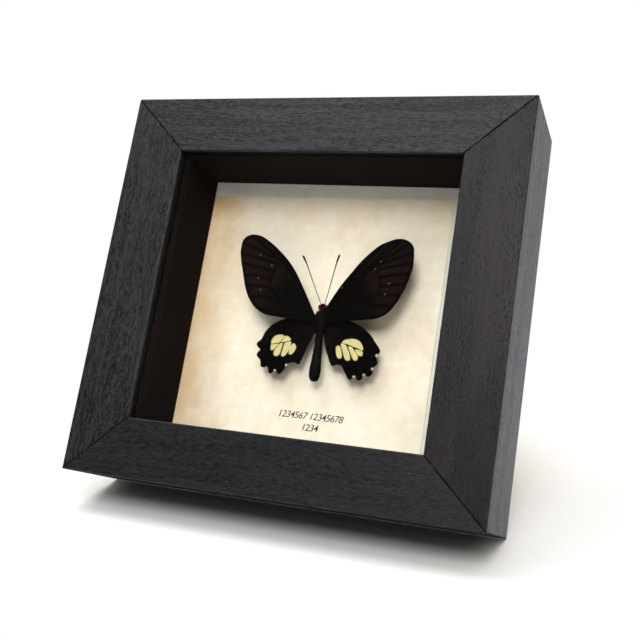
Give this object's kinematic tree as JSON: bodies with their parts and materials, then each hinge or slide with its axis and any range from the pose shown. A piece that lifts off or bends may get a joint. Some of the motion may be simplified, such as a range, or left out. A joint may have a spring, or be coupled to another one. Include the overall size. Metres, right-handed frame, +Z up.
{
  "type": "butterfly display case",
  "caption": "Deep black wooden display case, leaning back on a fold-out easel strut, with a spread butterfly over a paper-covered board behind glass.",
  "frame": {"origin": "on the table, at the middle of the footprint of the open, leaning case", "axes": "+X to the viewer's right along the case's width, +Y away from the viewer, +Z up; the glass faces -Y and leans back 25 degrees from upright"},
  "size_m": [0.16, 0.1206, 0.1527],
  "materials": {
    "black_wood": "black-stained open-grained wood, satin",
    "lining_wood": "black-brown stained wood strip, matt",
    "glass": "clear picture glass",
    "mount_board": "pale grey mount board, matt",
    "paper": "mottled parchment paper",
    "wing": "dry scaled wing membrane, near black, cream patches on the hindwings",
    "insect_body": "short black hair",
    "cork": "cork",
    "hardboard": "smooth brown hardboard",
    "steel": "zinc-plated steel"
  },
  "bodies": {
    "case": {"bottom_rail": "black_wood", "top_rail": "black_wood", "left_stile": "black_wood", "right_stile": "black_wood", "corner_nails": "steel", "glass_pane": "glass", "top_spacer": "lining_wood", "bottom_spacer": "lining_wood", "left_spacer": "lining_wood", "right_spacer": "lining_wood", "mount_board": "mount_board", "paper_sheet": "paper", "right_forewing": "wing", "left_forewing": "wing", "right_hindwing": "wing", "left_hindwing": "wing", "thorax": "insect_body", "head": "insect_body", "abdomen": "insect_body", "antennae": "insect_body", "specimen_block": "cork", "back_panel": "hardboard", "panel_leaf": "steel", "panel_rivets": "steel", "hinge_pin": "steel", "button_screws": "steel", "sawtooth_hanger": "steel", "hanger_nails": "steel"},
    "strut": {"strut": "hardboard", "strut_leaf": "steel", "strut_rivets": "steel"},
    "button_left_lower": {"turn_button_left_lower": "steel"},
    "button_left_upper": {"turn_button_left_upper": "steel"},
    "button_right_lower": {"turn_button_right_lower": "steel"},
    "button_right_upper": {"turn_button_right_upper": "steel"}
  },
  "joints": [
    {"name": "strut_fold", "type": "hinge", "parent": "case", "child": "strut", "pos_m": [0, 0.02108, 0.09449], "axis": [-1, 0, 0], "range_deg": [0, 45]},
    {"name": "button_left_lower_turn", "type": "hinge", "parent": "case", "child": "button_left_lower", "pos_m": [-0.0714, -0.00651, 0.03911], "axis": [0, -0.9063, 0.4226], "continuous": true},
    {"name": "button_left_upper_turn", "type": "hinge", "parent": "case", "child": "button_left_upper", "pos_m": [-0.0714, 0.02054, 0.09711], "axis": [0, -0.9063, 0.4226], "continuous": true},
    {"name": "button_right_lower_turn", "type": "hinge", "parent": "case", "child": "button_right_lower", "pos_m": [0.0714, -0.00651, 0.03911], "axis": [0, -0.9063, 0.4226], "continuous": true},
    {"name": "button_right_upper_turn", "type": "hinge", "parent": "case", "child": "button_right_upper", "pos_m": [0.0714, 0.02054, 0.09711], "axis": [0, -0.9063, 0.4226], "continuous": true}
  ]
}
